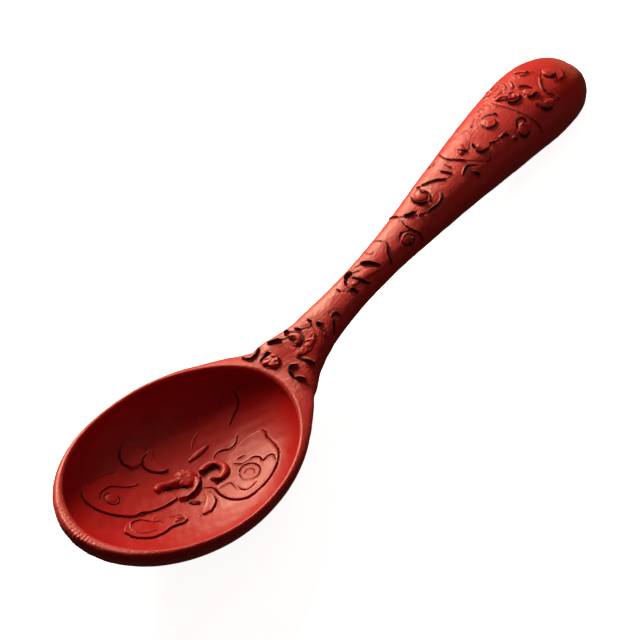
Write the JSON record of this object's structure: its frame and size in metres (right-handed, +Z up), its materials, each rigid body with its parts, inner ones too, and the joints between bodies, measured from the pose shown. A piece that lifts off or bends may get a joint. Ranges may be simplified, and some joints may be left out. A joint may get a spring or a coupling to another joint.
{
  "type": "wooden table spoon",
  "caption": "Carved wooden table spoon with an egg-shaped bowl, an arched club handle and raised and incised plant ornament under a thick satin red coat.",
  "frame": {"origin": "centre of the whole spoon's box, on the surface that it rests on", "axes": "+X from the bowl's tip to the handle's end, +Y across, +Z up as it lies on its bowl and the handle's end"},
  "size_m": [0.2004, 0.0538, 0.0286],
  "materials": {
    "limewood": "fine straight grain, unfinished, sealed under the coat",
    "red_coat": "satin cinnabar red coat over a wooden ground, fine tool marks",
    "red_lining": "satin cinnabar red coat, smoother in the bowl",
    "red_relief": "satin cinnabar red coat over raised ornament"
  },
  "bodies": {
    "root": {"wood_core": "limewood", "outer_coat": "red_coat", "bowl_lining": "red_lining", "flower_heart": "red_relief", "flower_left_arm": "red_relief", "flower_right_scroll": "red_relief", "flower_tail": "red_relief", "sliver_leaf": "red_relief", "crescent_petal": "red_relief", "round_petal": "red_relief", "left_leaf": "red_relief", "left_leaf_eye": "red_relief", "lower_leaf": "red_relief", "lower_petals": "red_relief", "right_leaf": "red_relief", "right_leaf_eye": "red_relief", "neck_boss": "red_relief", "neck_scroll": "red_relief", "neck_leaf": "red_relief", "grip_leaf": "red_relief", "grip_eye": "red_relief", "spiral_knob": "red_relief", "bud_pair": "red_relief", "round_knob": "red_relief", "eye_scroll": "red_relief", "feather_leaf": "red_relief", "lip_knob": "red_relief", "lower_lip": "red_relief", "end_leaf": "red_relief", "end_knob": "red_relief"}
  },
  "joints": []
}
